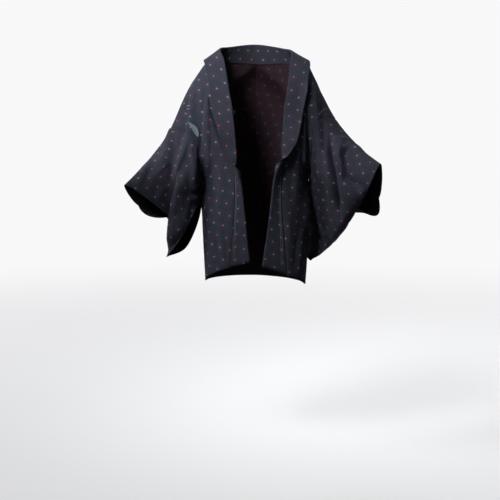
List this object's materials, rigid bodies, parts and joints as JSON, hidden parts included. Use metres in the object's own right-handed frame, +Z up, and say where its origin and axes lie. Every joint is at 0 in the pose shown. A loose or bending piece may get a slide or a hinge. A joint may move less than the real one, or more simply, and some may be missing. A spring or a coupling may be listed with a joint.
{
  "type": "haori jacket",
  "caption": "Open-front haori jacket in dark cloth with rows of small dots, collar folded outwards, both wide sleeves held out as worn.",
  "frame": {"origin": "where the jacket hangs on the wearer, on the centre plane between the two shoulder ends of the neck", "axes": "+Z up, +X to the wearer's left, -Y to the open front"},
  "size_m": [0.8394, 0.4301, 0.8177],
  "materials": {
    "cloth": "matt woven silk",
    "lining": "smooth silk lining",
    "cord": "matt cord"
  },
  "bodies": {
    "root": {"body_right": "cloth", "body_left": "cloth", "gusset_right": "cloth", "gusset_left": "cloth", "collar": "cloth", "sleeve_right": "cloth", "sleeve_left": "cloth", "cord_loop_right": "cord", "cord_loop_left": "cord", "lining_corner": "lining"}
  },
  "joints": []
}
